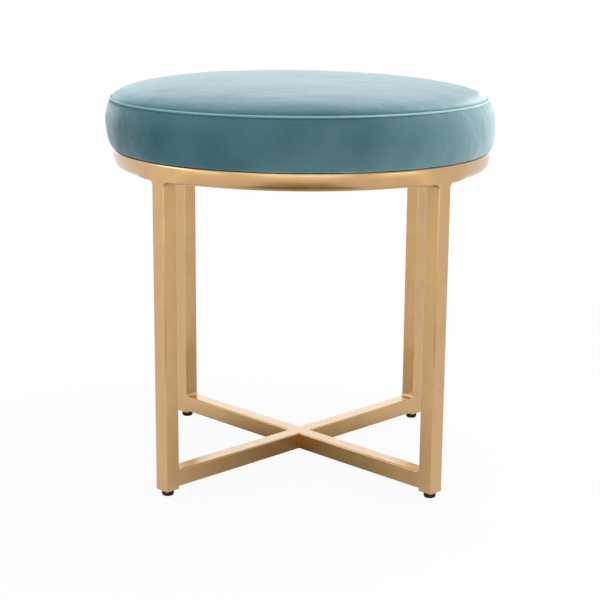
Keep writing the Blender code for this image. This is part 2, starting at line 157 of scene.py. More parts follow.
def uneven_group():
    """Slow drift of a value over a surface, for tone, nap and gloss that no real finish keeps even."""
    group, given, put = node_group(
        "uneven",
        [
            ("Scale", "NodeSocketFloat", 20.0),
            ("Detail", "NodeSocketFloat", 3.0),
            ("Stretch", "NodeSocketVector", (1.0, 1.0, 1.0)),
            ("Low", "NodeSocketFloat", 0.0),
            ("High", "NodeSocketFloat", 1.0),
        ],
        [("Value", "NodeSocketFloat")],
    )
    place = group.nodes.new("ShaderNodeTexCoord")
    stretch = group.nodes.new("ShaderNodeMapping")
    drift = group.nodes.new("ShaderNodeTexNoise")
    spread = group.nodes.new("ShaderNodeMapRange")
    spread.inputs["From Min"].default_value = NOISE_LOW
    spread.inputs["From Max"].default_value = NOISE_HIGH
    group.links.new(place.outputs["Object"], stretch.inputs["Vector"])
    group.links.new(given.outputs["Stretch"], stretch.inputs["Scale"])
    group.links.new(stretch.outputs["Vector"], drift.inputs["Vector"])
    group.links.new(given.outputs["Scale"], drift.inputs["Scale"])
    group.links.new(given.outputs["Detail"], drift.inputs["Detail"])
    group.links.new(drift.outputs["Fac"], spread.inputs["Value"])
    group.links.new(given.outputs["Low"], spread.inputs["To Min"])
    group.links.new(given.outputs["High"], spread.inputs["To Max"])
    group.links.new(spread.outputs["Result"], put.inputs["Value"])
    return group


UNEVEN = uneven_group()


def uneven(finish, **values):
    """The drift group in a material, with its own values."""
    node = finish.node_tree.nodes.new("ShaderNodeGroup")
    node.node_tree = UNEVEN
    for label, value in values.items():
        node.inputs[label].default_value = value
    return node.outputs["Value"]


def new_finish(name, **sockets):
    """Material with a Principled shader, whose plain values are set on its own sockets."""
    finish = bpy.data.materials.new(name)
    finish.use_nodes = True
    shader = finish.node_tree.nodes["Principled BSDF"]
    for label, value in sockets.items():
        shader.inputs[label.replace("_", " ")].default_value = value
    return finish, shader


def toned(finish, shader, factor, low, high):
    """Base colour between two tones by a factor that changes over the surface."""
    mix = finish.node_tree.nodes.new("ShaderNodeMix")
    mix.data_type = "RGBA"
    mix.inputs["A"].default_value = (*low, 1)
    mix.inputs["B"].default_value = (*high, 1)
    finish.node_tree.links.new(factor, mix.inputs["Factor"])
    finish.node_tree.links.new(mix.outputs["Result"], shader.inputs["Base Color"])


def grained(finish, shader, height, strength, depth):
    """Bump of a given depth in metres from a height that changes over the surface."""
    bump = finish.node_tree.nodes.new("ShaderNodeBump")
    bump.inputs["Strength"].default_value = strength
    bump.inputs["Distance"].default_value = depth
    finish.node_tree.links.new(height, bump.inputs["Height"])
    finish.node_tree.links.new(bump.outputs["Normal"], shader.inputs["Normal"])
    return bump


def satin_brass():
    """Champagne brass plating, fine blasted and slightly clouded, under a clear satin lacquer."""
    finish, shader = new_finish(
        "satin_brass", Metallic=1.0, Coat_Weight=1.0, Coat_Roughness=0.20, Coat_IOR=2.1,
    )
    clouds = uneven(finish, Scale=38.0, Detail=4.0)
    toned(finish, shader, clouds, low=(0.470, 0.242, 0.039), high=(0.520, 0.277, 0.054))
    gloss = uneven(finish, Scale=90.0, Detail=5.0, Low=0.32, High=0.40)
    finish.node_tree.links.new(gloss, shader.inputs["Roughness"])
    blasting = uneven(finish, Scale=1400.0, Detail=2.0)
    grained(finish, shader, blasting, strength=0.12, depth=0.0001)
    return finish


def leg_tube():
    """Outside and bore of a leg, from the bore's end down round the lower edge and up to the ring."""
    bore = LEG_SIDE - 2 * TUBE_WALL
    levels = [(bore, BORE_CORNER, LEG_BOTTOM + BORE_DEPTH), (bore, BORE_CORNER, LEG_BOTTOM)]
    for inward, up in arc((LEG_END_ROUND, LEG_END_ROUND), LEG_END_ROUND, 270, 180, 4):
        levels.append((LEG_SIDE - 2 * inward, LEG_CORNER - inward / 2, LEG_BOTTOM + up))
    levels.append((LEG_SIDE, LEG_CORNER, LEG_BOTTOM + 2 * LEG_END_ROUND))
    levels.append((LEG_SIDE, LEG_CORNER, LEG_TOP))
    loops = []
    for side, corner, height in levels:
        loop = []
        for x, y in rounded_rectangle(side, side, corner):
            flush = math.sqrt(RING_RADIUS**2 - y**2)
            loop.append((min(LEG_CENTRE + x, flush), y, height))
        loops.append(loop)
    return finished(skinned(loops), "leg_tube")


def weld_section(edge, depth, steps):
    """Half of a weld's section, from its hollow face round an edge into the metal: (sink, back) pairs."""
    edge = min(edge, depth)
    half = [(0, edge + FLAT_EASE)]
    half += [(edge - rise, edge - out) for rise, out in arc((0, 0), edge, 0, 90, steps)]
    half.append((min(edge + FLAT_EASE, depth), 0))
    half.append((depth, 0))
    half.append((depth + WELD_SINK, WELD_SINK))
    return half


def dressed_weld(side):
    """Weld between a leg's flank and the ring, flush outside and inside. The edges of its hollow are as round
    as the leg's where they leave the flank, and as round as the ring's where they run out."""
    middle = (LEG_SIDE / 2 + WELD_HOLLOW, RING_LOW.z - WELD_HOLLOW)
    inner_radius = RING_RADIUS - RING_WIDTH
    loops = []
    for share in np.linspace(0, 1, WELD_STEPS + 1):
        across, up = math.cos(share * math.pi / 2), math.sin(share * math.pi / 2)
        to_flank = (WELD_HOLLOW + LEG_CORNER + WELD_SINK) / max(across, TINY)
        to_face = (WELD_HOLLOW + RING_LEG_EDGE) / max(up, TINY)
        depth = min(to_flank, to_face) - WELD_HOLLOW
        blend = share * share * (3 - 2 * share)
        proud = SKIN * (1 - 2 * share)
        outer = weld_section(LEG_CORNER + (RING_LEG_EDGE - LEG_CORNER) * blend, depth, WELD_EDGE_STEPS)
        inner = weld_section(LEG_CORNER + (RING_EDGE - LEG_CORNER) * blend, depth, WELD_EDGE_STEPS)
        loop = []
        for rim, inward, section in ((inner_radius, 1, reversed(inner)), (RING_RADIUS, -1, outer)):
            for sink, back in section:
                reach = WELD_HOLLOW - proud + sink
                y = middle[0] - reach * across
                x = math.sqrt(rim**2 - y**2) + inward * (back - proud)
                loop.append((x, side * y, middle[1] + reach * up))
        loops.append(loop)
    return finished(skinned(loops), "dressed_weld")


BRASS = satin_brass()
leg_shape = together("leg", leg_tube(), dressed_weld(1), dressed_weld(-1))
for corner, azimuth in CORNERS.items():
    mesh = leg_shape.copy()
    mesh.transform(Matrix.Rotation(math.radians(azimuth), 4, "Z"))
    placed(f"leg_tube_{corner}", mesh, BRASS, "frame", "frame_metal", f"leg_{corner}")


# Stretchers: tube laid as a low X between the legs. One runs from leg to leg and two halves butt against its
# flanks. Welds are ground flush at the crossing and filled to a small fillet at each leg.
STRETCHER_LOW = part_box("stretcher_long")[0].z
STRETCHER_HEIGHT = 0.020
STRETCHER_FILLET = 0.0035
FILLET_STEPS = 8
STRETCHER_REACH = RING_RADIUS - LEG_SIDE


def stretcher_tube(start, end, from_leg):
    """Tube along X whose upper face curves up into a fillet at each leg that it meets."""
    turns = np.linspace(0, math.pi / 2, FILLET_STEPS + 1)
    runs = end - STRETCHER_FILLET + STRETCHER_FILLET * np.sin(turns)
    lifts = STRETCHER_FILLET * (1 - np.cos(turns))
    stations = [(end - 2 * STRETCHER_FILLET, 0), *zip(runs, lifts), (end + LEG_CORNER, STRETCHER_FILLET)]
    if from_leg:
        stations = [(start + end - x, up) for x, up in reversed(stations)] + stations
    else:
        stations = [(start - LEG_CORNER, 0), (start, 0), *stations]
    loops = []
    for x, up in stations:
        outline = rounded_rectangle(LEG_SIDE, STRETCHER_HEIGHT + up, LEG_CORNER)
        middle = STRETCHER_LOW + (STRETCHER_HEIGHT + up) / 2
        loops.append([(x, y, middle + z) for y, z in outline])
    return finished(skinned(loops), "stretcher")


for node, azimuth, start, from_leg in (
    ("stretcher_long", CORNERS["back_right"], -STRETCHER_REACH, True),
    ("stretcher_half_left", CORNERS["back_left"], LEG_SIDE / 2, False),
    ("stretcher_half_right", CORNERS["front_right"], LEG_SIDE / 2, False),
):
    mesh = stretcher_tube(start, STRETCHER_REACH, from_leg)
    mesh.transform(Matrix.Rotation(math.radians(azimuth), 4, "Z"))
    placed(f"{node}_tube", mesh, BRASS, "frame", "frame_metal", node)


# Seat ring: tube rolled to a hoop and plated with the rest of the frame. Rolling leaves its face a little
# barrelled and its lower outer edge well rounded, and dressing the welds leaves both crisp at the legs. Four
# tabs welded inside it carry the seat.
RING_STEPS = 288
RING_FACE_STEPS = 8
RING_UNDER_STEPS = 14
RING_UNDER_EDGE = 0.0065
RING_FALL = math.radians(15)
FLAT_TO, BARREL_FROM = math.radians(5), math.radians(15)
SIDES = ("right", "back", "left", "front")
TAB_HOLE = 0.0033
TAB_EDGE = 0.0005
TAB_WELD = 0.0006


def ring_outline(barrel):
    """Section of the hoop in the (radius, height) half-plane, for a share of its barrel and its rounding."""
    outer, inner = RING_RADIUS, RING_RADIUS - RING_WIDTH
    low, high = RING_LOW.z, RING_HIGH.z
    under = RING_LEG_EDGE + (RING_UNDER_EDGE - RING_LEG_EDGE) * barrel
    fall = RING_FALL * barrel
    outline = arc((outer - RING_EDGE, high - RING_EDGE), RING_EDGE, 90, 0, 6)
    face_top, face_low = high - RING_EDGE - FLAT_EASE, low + under
    for share in np.linspace(0, 1, RING_FACE_STEPS + 1):
        back = (face_top - face_low) * share * math.tan(fall * share / 2)
        outline.append((outer - back, face_top + (face_low - face_top) * share))
    back = outer - outline[-1][0]
    rise = under / (1 - math.sin(fall))
    for turn in np.linspace(fall, math.pi / 2, RING_UNDER_STEPS + 1)[1:]:
        reach = under * (math.cos(turn) / math.cos(fall) - 1)
        outline.append((outer - back + reach, low + rise * (1 - math.sin(turn))))
    outline.append((outer - back - under - FLAT_EASE, low))
    outline += arc((inner + RING_EDGE, low + RING_EDGE), RING_EDGE, -90, -180, 5)
    outline += arc((inner + RING_EDGE, high - RING_EDGE), RING_EDGE, 180, 90, 5)
    return outline


def hoop_mesh():
    """The hoop, barrelled between the legs and flat at them."""
    shape = bmesh.new()
    rows = []
    for turn in np.linspace(0, math.tau, RING_STEPS, endpoint=False):
        from_leg = abs((turn + math.pi / 2) % (math.pi / 2) - math.pi / 4)
        share = min(max((from_leg - FLAT_TO) / (BARREL_FROM - FLAT_TO), 0), 1)
        outline = ring_outline(share * share * (3 - 2 * share))
        rows.append([shape.verts.new((r * math.cos(turn), r * math.sin(turn), z)) for r, z in outline])
    bridged(shape, rows + rows[:1])
    return finished(shape, "hoop")


def tab_mesh():
    """Plate with a round end and a screw hole, let into the hoop by its weld at the other end."""
    low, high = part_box("seat_tab_right")
    half = (high.y - low.y) / 2
    hole = Vector((low.x + half, 0))
    inside = RING_RADIUS - RING_WIDTH + TAB_WELD
    spread = math.degrees(math.asin(half / inside))
    outline = arc((0, 0), inside, -spread, spread, 4) + arc(hole, half, 90, 270, 24)
    ways = [Vector(point) - hole for point in outline]
    rows = []
    shape = bmesh.new()
    for inset, z in ((TAB_EDGE, low.z), (0, low.z + TAB_EDGE), (0, high.z - TAB_EDGE), (TAB_EDGE, high.z)):
        rows.append([shape.verts.new((*(hole + way * (1 - inset / way.length)), z)) for way in ways])
    for z in (high.z, low.z):
        rows.append([shape.verts.new((*(hole + way.normalized() * TAB_HOLE), z)) for way in ways])
    bridged(shape, rows + rows[:1])
    return finished(shape, "tab")


placed("seat_hoop", hoop_mesh(), BRASS, "frame", "frame_metal", "seat_ring")
for quarter, side in enumerate(SIDES):
    tab = tab_mesh()
    tab.transform(Matrix.Rotation(quarter * math.pi / 2, 4, "Z"))
    placed(f"tab_{side}", tab, BRASS, "frame", "frame_metal", f"seat_tab_{side}")


# Cushion cover: dusty teal velvet, a crowned round top panel and a side band, sewn with a thin welt and
# drawn tight over foam. The band swells, tucks in on the ring, and its hem is stapled under the board.
PANEL_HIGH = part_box("top_panel")[1]
BAND_LOW, BAND_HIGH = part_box("side_band")
WELT_LOW, WELT_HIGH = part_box("seam_welt")
WELT_RADIUS = (WELT_HIGH.z - WELT_LOW.z) / 2
SEAM_RADIUS = WELT_HIGH.x - WELT_RADIUS
SEAM_Z = (WELT_HIGH.z + WELT_LOW.z) / 2
SEAM_SINK = 0.0012
SWELL_RADIUS = BAND_HIGH.x
SWELL_Z = RING_HIGH.z + 0.0331
LIP_RADIUS = RING_RADIUS - 0.002
HEM_Z = BAND_LOW.z
HEM_RADIUS = RING_RADIUS - 0.029
CROWN_Z = PANEL_HIGH.z
CROWN_FLATNESS = 3.2
CROWN_ROUNDNESS = 0.56
CROWN_START = 0.02
CROWN_STEPS = 26
SHOULDER_ANGLE = math.radians(41)
SHOULDER_STEPS = 14
TUCK_STEPS = 12
HEM_STEPS = 5
COVER_THICKNESS = 0.0012
COVER_AROUND = 192
JOIN_AZIMUTH = math.pi / 2
JOIN_OFFSETS = np.array((-9.0, -6.0, -4.0, -2.6, -1.5, -0.7, 0.0, 0.7, 1.5, 2.6, 4.0, 6.0, 9.0)) / 1000
JOIN_ROOM = 1.4
JOIN_DEPTH = 0.0009
JOIN_WIDTH = 0.0011
JOIN_LIP = 0.35
JOIN_LIP_PLACE = 0.0032
JOIN_LIP_WIDTH = 0.0020
ALLOWANCE = 0.0055
ALLOWANCE_WIDTH = 0.0016
ALLOWANCE_RISE = 0.0008
ALLOWANCE_EVEN = 0.55
ALLOWANCE_DRIFT = 0.9
DRIFT_SCALE = 4
TAUT_RADIUS = 0.205
SLACK = 0.018
PRESSURE = 1.5
SETTLE_FRAMES = 20
PUCKER_SEED = 5
JITTER = 0.0003
JITTER_SCALE = 160
PUCKER_LIMIT = 0.0022
PUCKERS_LEFT = 0.2
LEAN = -0.050
SEAM_TILT = 0.0026
CROWN_TILT = -0.0117


def cover_turns():
    """Azimuths of the cover's columns, closer together at the upright seam that joins the band's ends."""
    join = JOIN_AZIMUTH + JOIN_OFFSETS / SWELL_RADIUS
    even = np.linspace(0, math.tau, COVER_AROUND, endpoint=False)
    clear = np.abs(even - JOIN_AZIMUTH) > JOIN_ROOM * JOIN_OFFSETS[-1] / SWELL_RADIUS
    return np.sort(np.concatenate([even[clear], join]))


def cover_path():
    """Outside of the cover from the crown to the hem's inner edge, and the places of its seam and lip."""
    slant = WELT_RADIUS * math.sqrt(0.5)
    edge_radius, edge_z = SEAM_RADIUS - slant, SEAM_Z + slant
    path = []
    for share in np.sin(np.linspace(CROWN_START, math.pi / 2, CROWN_STEPS)):
        fall = max(1 - share**CROWN_FLATNESS, 0) ** CROWN_ROUNDNESS
        path.append((edge_radius * share, edge_z + (CROWN_Z - edge_z) * fall))
    seam = len(path)
    path.append((SEAM_RADIUS - SEAM_SINK * math.sqrt(0.5), SEAM_Z - SEAM_SINK * math.sqrt(0.5)))
    reach = (SWELL_RADIUS - SEAM_RADIUS) / (1 - math.sin(SHOULDER_ANGLE))
    rise = (SEAM_Z - SWELL_Z) / math.cos(SHOULDER_ANGLE)
    pace = math.hypot(reach * math.cos(SHOULDER_ANGLE), rise * math.sin(SHOULDER_ANGLE))
    for turn in np.linspace(SHOULDER_ANGLE + WELT_RADIUS / pace, math.pi / 2, SHOULDER_STEPS):
        path.append((SWELL_RADIUS - reach * (1 - math.sin(turn)), SWELL_Z + rise * math.cos(turn)))
    for turn in np.linspace(0, math.pi / 2, TUCK_STEPS + 1)[1:]:
        out = (SWELL_RADIUS - LIP_RADIUS) * math.cos(turn)
        path.append((LIP_RADIUS + out, SWELL_Z - (SWELL_Z - HEM_Z) * math.sin(turn)))
    lip = len(path) - 1
    path += [(radius, HEM_Z) for radius in np.linspace(LIP_RADIUS, HEM_RADIUS, HEM_STEPS + 1)[1:]]
    return np.array(path), seam, lip


def around(path, turns):
    """Points of a path turned about Z, as rows along it."""
    ring = np.stack([np.cos(turns), np.sin(turns)], axis=-1)
    flat = path[:, 0, None, None] * ring[None]
    return np.concatenate([flat, np.broadcast_to(path[:, 1, None, None], flat[..., :1].shape)], axis=-1)


def lattice(rows, name, closed_centre=True):
    """Mesh over rows of points that close round, with one face across the first row to close its centre."""
    shape = bmesh.new()
    verts = [[shape.verts.new(point) for point in row] for row in rows]
    bridged(shape, verts)
    if closed_centre:
        shape.faces.new(verts[0])
    mesh = bpy.data.meshes.new(name)
    shape.to_mesh(mesh)
    shape.free()
    mesh.shade_smooth()
    return mesh


def settled(rows, held):
    """Where the rows of a slack cover come to rest, blown up between the rows that are held."""
    steps = rows.shape[1]
    noise.seed_set(PUCKER_SEED)
    rough = rows.copy()
    for row in np.flatnonzero(~held):
        for index in range(steps):
            jitter = noise.noise_vector(Vector(rows[row, index]) * JITTER_SCALE)
            rough[row, index] += np.array(jitter) * JITTER
    mesh = lattice(rough, "settling")
    cloth_piece = bpy.data.objects.new("settling", mesh)
    bpy.context.scene.collection.objects.link(cloth_piece)
    pins = cloth_piece.vertex_groups.new(name="held")
    pins.add([int(i) for i in np.flatnonzero(np.repeat(held, steps))], 1.0, "REPLACE")
    cloth = cloth_piece.modifiers.new("cloth", "CLOTH")
    cloth.settings.vertex_group_mass = "held"
    cloth.settings.quality = 8
    cloth.settings.mass = 0.02
    cloth.settings.tension_stiffness = 30
    cloth.settings.compression_stiffness = 30
    cloth.settings.shear_stiffness = 10
    cloth.settings.bending_stiffness = 0.05
    cloth.settings.air_damping = 4
    cloth.settings.shrink_min = -SLACK
    cloth.settings.use_pressure = True
    cloth.settings.uniform_pressure_force = PRESSURE
    cloth.settings.effector_weights.gravity = 0
    cloth.point_cache.frame_end = SETTLE_FRAMES
    for step in range(1, SETTLE_FRAMES + 1):
        bpy.context.scene.frame_set(step)
    graph = bpy.context.evaluated_depsgraph_get()
    rest = cloth_piece.evaluated_get(graph).to_mesh()
    found = np.empty(len(rest.vertices) * 3, np.float32)
    rest.vertices.foreach_get("co", found)
    bpy.data.objects.remove(cloth_piece)
    bpy.context.scene.frame_set(1)
    return found.reshape(rows.shape)


def puckered(rows, turns, seam, lip):
    """The fitted form with a share of the settled cloth's puckers, as stapling pulls most of them out."""
    held = np.zeros(rows.shape[0], bool)
    held[np.hypot(rows[:, 0, 0], rows[:, 0, 1]) < TAUT_RADIUS] = True
    held[lip:] = True
    held[seam] = True
    moved = settled(rows, held) - rows
    out = moved[..., 0] * np.cos(turns) + moved[..., 1] * np.sin(turns)
    out -= out.mean(axis=1, keepdims=True)
    up = moved[..., 2] - moved[..., 2].mean(axis=1, keepdims=True)
    shift = np.stack([out * np.cos(turns), out * np.sin(turns), up], axis=-1)
    length = np.linalg.norm(shift, axis=-1, keepdims=True)
    return rows + PUCKERS_LEFT * shift * np.minimum(1, PUCKER_LIMIT / np.maximum(length, 1e-9))


def seamed(rows, turns, seam, lip):
    """The band with its upright join sunk at the back, and the seam allowance faint under the welt."""
    line = np.stack([np.hypot(rows[:, 0, 0], rows[:, 0, 1]), rows[:, 0, 2]], axis=-1)
    run = np.concatenate([[0], np.cumsum(np.linalg.norm(np.diff(line, axis=0), axis=1))])
    below = run - run[seam]
    drift = np.array([noise.noise(Vector((math.cos(t), math.sin(t), 0)) * DRIFT_SCALE) for t in turns])
    ridge = ALLOWANCE_RISE * np.exp(-(((below - ALLOWANCE) / ALLOWANCE_WIDTH) ** 2))
    ridge = ridge[:, None] * (ALLOWANCE_EVEN + ALLOWANCE_DRIFT * drift)
    beside = (turns - JOIN_AZIMUTH) * SWELL_RADIUS
    lips = JOIN_LIP * np.exp(-(((np.abs(beside) - JOIN_LIP_PLACE) / JOIN_LIP_WIDTH) ** 2))
    join = JOIN_DEPTH * (lips - np.exp(-((beside / JOIN_WIDTH) ** 2)))
    band = np.zeros(rows.shape[0])
    band[seam + 1:lip] = 1
    out = band[:, None] * (ridge + join)
    return rows + np.stack([out * np.cos(turns), out * np.sin(turns), np.zeros_like(out)], axis=-1)


def sat_askew(points):
    """A cushion leans a little on its frame, and its crown is a little fuller on one side."""
    height = np.clip(points[..., 2] - RING_HIGH.z, 0, None)
    band = np.clip(height / (SEAM_Z - RING_HIGH.z), 0, 1)
    crown = np.clip((points[..., 2] - SEAM_Z) / (CROWN_Z - SEAM_Z), 0, 1)
    moved = points.copy()
    moved[..., 0] += LEAN * height
    moved[..., 2] += points[..., 0] * (SEAM_TILT * band + CROWN_TILT * crown)
    return moved


def velvet(name, dark, light):
    """Short dense pile: dark seen end on, pale along its lie, and clouded where it has been stroked."""
    finish, shader = new_finish(
        name, Roughness=0.9, Sheen_Weight=1.0, Sheen_Roughness=0.38,
        Sheen_Tint=(0.85, 0.97, 1.0, 1), Specular_IOR_Level=0.15,
    )
    nap = uneven(finish, Scale=11.0, Detail=5.0)
    toned(finish, shader, nap, dark, light)
    stroke = grained(finish, shader, uneven(finish, Scale=24.0, Detail=3.0), strength=0.2, depth=0.004)
    pile = grained(finish, shader, uneven(finish, Scale=1700.0, Detail=2.0), strength=0.35, depth=0.0003)
    finish.node_tree.links.new(stroke.outputs["Normal"], pile.inputs["Normal"])
    return finish


VELVET = velvet("teal_velvet", dark=(0.034, 0.094, 0.110), light=(0.074, 0.156, 0.174))
COVER_TURNS = cover_turns()
cover_line, seam_row, lip_row = cover_path()
cover_rows = around(cover_line, COVER_TURNS)
cover_rows = puckered(cover_rows, COVER_TURNS, seam_row, lip_row)
cover_rows = seamed(cover_rows, COVER_TURNS, seam_row, lip_row)
cover = placed(
    "cushion_cover", lattice(sat_askew(cover_rows), "cover"), VELVET, "frame", "cover_velvet",
    "top_panel", "side_band",
)
thickness = cover.modifiers.new("cloth thickness", "SOLIDIFY")
thickness.thickness = COVER_THICKNESS
thickness.offset = -1


# Welt: a bias strip of the same velvet sewn round a thin cord and caught in the seam. Its velvet is the
# cover's in paler tones, a painted highlight that makes the cord read as a light line along the seam.
WELT_AROUND = 384
WELT_SIDES = 12
WELT_PROUD = 0.0006


def welt_mesh():
    """Closed cord along the seam, standing a little proud of it."""
    centre = (SEAM_RADIUS + WELT_PROUD, SEAM_Z + WELT_PROUD)
    turns = np.linspace(0, 360, WELT_SIDES, endpoint=False)
    outline = np.array([arc(centre, WELT_RADIUS, t, t, 1)[0] for t in turns])
    rows = sat_askew(around(outline, np.linspace(0, math.tau, WELT_AROUND, endpoint=False)))
    mesh = lattice(np.concatenate([rows, rows[:1]]), "welt", closed_centre=False)
    shape = bmesh.new()
    shape.from_mesh(mesh)
    return finished(shape, "welt")


# Paler tones of the cover's velvet: painted highlight on the welt, not a colour of its own.
PALE_WELT_HIGHLIGHT = velvet("welt_painted_highlight", dark=(0.160, 0.300, 0.322), light=(0.215, 0.375, 0.395))
placed("seam_welt_cord", welt_mesh(), PALE_WELT_HIGHLIGHT, "frame", "cover_velvet", "seam_welt")


# Foam: one block of cream upholstery foam, trimmed to the cushion's form. It is glued to the seat board, and
# the cover draws it down round the board's edge.
BOARD_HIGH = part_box("seat_board")[1]
FOAM_CLEAR = 0.0006
BOARD_CLEAR = 0.0004


def turned(outline, steps):
    """Outline in the (radius, height) half-plane turned about Z, closed unless its ends lie on the axis."""
    shape = bmesh.new()
    rows = []
    for turn in np.linspace(0, math.tau, steps, endpoint=False):
        rows.append([shape.verts.new((r * math.cos(turn), r * math.sin(turn), z)) for r, z in outline])
    on_axis = outline[0][0] < TINY and outline[-1][0] < TINY
    bridged(shape, rows + rows[:1], len(outline) - 1 if on_axis else len(outline))
    return shape


def foam_mesh():
    """The cushion's form less its cover, hollowed for the board."""
    depth = COVER_THICKNESS + PUCKERS_LEFT * PUCKER_LIMIT + FOAM_CLEAR
    outline = [(0, CROWN_Z - depth)]
    outline += [(r - depth, z - depth) for r, z in cover_line[1:seam_row - 1]]
    outline += [(r - depth, z) for r, z in cover_line[seam_row + 2:lip_row - 2]]
    edge, ceiling = BOARD_HIGH.x + BOARD_CLEAR, BOARD_HIGH.z + BOARD_CLEAR
    outline += [(edge, outline[-1][1]), (edge, ceiling), (0, ceiling)]
    shape = turned(outline, steps=96)
    for vert in shape.verts:
        vert.co = sat_askew(np.array(vert.co))
    return finished(shape, "foam")


def cream_foam():
    """Open-cell foam with a fine sponge grain."""
    finish, shader = new_finish("cream_foam", Roughness=0.95, Specular_IOR_Level=0.2)
    toned(finish, shader, uneven(finish, Scale=60.0), low=(0.74, 0.65, 0.43), high=(0.84, 0.76, 0.55))
    grained(finish, shader, uneven(finish, Scale=900.0, Detail=2.0), strength=0.6, depth=0.0005)
    return finish


foam = placed("foam_pad", foam_mesh(), cream_foam(), "frame", "seat_foam", "seat_foam")


# Seat board and fixings: a plywood disc with tee nuts let into it, and four zinc plated socket screws that
# come up through washers and the ring's tabs.
SOCKET_ACROSS = 0.004
SOCKET_DEPTH = 0.0024
SOCKET_MOUTH = 1.3
SOCKET_POINT = 0.0005
HEAD_EDGE = 0.0003
HEAD_FLANK = 0.0012
HEAD_ROUND = 0.45
HEAD_SWEEP = 62
SCREW_STEPS = 48
THREAD_RADIUS = 0.003
THREAD_PITCH = 0.001
THREAD_DEPTH = 0.00055
THREAD_SINK = 0.0001
SHANK_SINK = 0.0003
WASHER_GAP = 0.0003
WASHER_HOLE = 0.0033
WASHER_EDGE = 0.0003


def birch_ply():
    """Raw birch, with the grain along one way."""
    finish, shader = new_finish("birch_plywood", Roughness=0.7)
    grain = uneven(finish, Scale=14.0, Detail=6.0, Stretch=(1.0, 14.0, 60.0))
    toned(finish, shader, grain, low=(0.50, 0.34, 0.19), high=(0.68, 0.50, 0.31))
    grained(finish, shader, grain, strength=0.2, depth=0.0003)
    return finish


def zinc_plate():
    """Bright zinc, a little patchy in tone and gloss."""
    finish, shader = new_finish("zinc_plate", Metallic=1.0)
    toned(finish, shader, uneven(finish, Scale=160.0), low=(0.50, 0.51, 0.53), high=(0.62, 0.62, 0.60))
    gloss = uneven(finish, Scale=300.0, Low=0.28, High=0.42)
    finish.node_tree.links.new(gloss, shader.inputs["Roughness"])
    return finish


def new_tree(name, inputs):
    """Geometry Nodes tree with named inputs, that ends in realised instances and a material."""
    tree = bpy.data.node_groups.new(name, "GeometryNodeTree")
    for label, kind in (*inputs, ("Finish", "NodeSocketMaterial")):
        tree.interface.new_socket(label, in_out="INPUT", socket_type=kind)
    tree.interface.new_socket("Geometry", in_out="OUTPUT", socket_type="NodeSocketGeometry")
    given = tree.nodes.new("NodeGroupInput")
    real = tree.nodes.new("GeometryNodeRealizeInstances")
    dress = tree.nodes.new("GeometryNodeSetMaterial")
    tree.links.new(real.outputs["Geometry"], dress.inputs["Geometry"])
    tree.links.new(given.outputs["Finish"], dress.inputs["Material"])
    tree.links.new(dress.outputs["Geometry"], tree.nodes.new("NodeGroupOutput").inputs["Geometry"])
    return tree, given, real.inputs["Geometry"]


def row_tree():
    """One piece set many times round a circle, each turned a little at random."""
    tree, given, end = new_tree(
        "round_row",
        (
            ("Piece", "NodeSocketObject"),
            ("Count", "NodeSocketInt"),
            ("Radius", "NodeSocketFloat"),
            ("Scatter", "NodeSocketFloat"),
        ),
    )
    circle = tree.nodes.new("GeometryNodeCurvePrimitiveCircle")
    spots = tree.nodes.new("GeometryNodeCurveToPoints")
    spots.mode = "EVALUATED"
    piece = tree.nodes.new("GeometryNodeObjectInfo")
    index = tree.nodes.new("GeometryNodeInputIndex")
    share = tree.nodes.new("ShaderNodeMath")
    share.operation = "DIVIDE"
    stray = tree.nodes.new("FunctionNodeRandomValue")
    stray.inputs["Seed"].default_value = 7
    least = tree.nodes.new("ShaderNodeMath")
    least.operation = "MULTIPLY"
    least.inputs[1].default_value = -1
    turn = tree.nodes.new("ShaderNodeMath")
    turn.operation = "MULTIPLY_ADD"
    turn.inputs[1].default_value = math.tau
    lie = tree.nodes.new("ShaderNodeCombineXYZ")
    row = tree.nodes.new("GeometryNodeInstanceOnPoints")
    tree.links.new(given.outputs["Count"], circle.inputs["Resolution"])
    tree.links.new(given.outputs["Radius"], circle.inputs["Radius"])
    tree.links.new(circle.outputs["Curve"], spots.inputs["Curve"])
    tree.links.new(given.outputs["Piece"], piece.inputs["Object"])
    tree.links.new(index.outputs["Index"], share.inputs[0])
    tree.links.new(given.outputs["Count"], share.inputs[1])
    tree.links.new(given.outputs["Scatter"], least.inputs[0])
    tree.links.new(least.outputs["Value"], stray.inputs[2])
    tree.links.new(given.outputs["Scatter"], stray.inputs[3])
    tree.links.new(share.outputs["Value"], turn.inputs[0])
    tree.links.new(stray.outputs[1], turn.inputs[2])
    tree.links.new(turn.outputs["Value"], lie.inputs["Z"])
    tree.links.new(spots.outputs["Points"], row.inputs["Points"])
    tree.links.new(piece.outputs["Geometry"], row.inputs["Instance"])
    tree.links.new(lie.outputs["Vector"], row.inputs["Rotation"])
    tree.links.new(row.outputs["Instances"], end)
    return tree


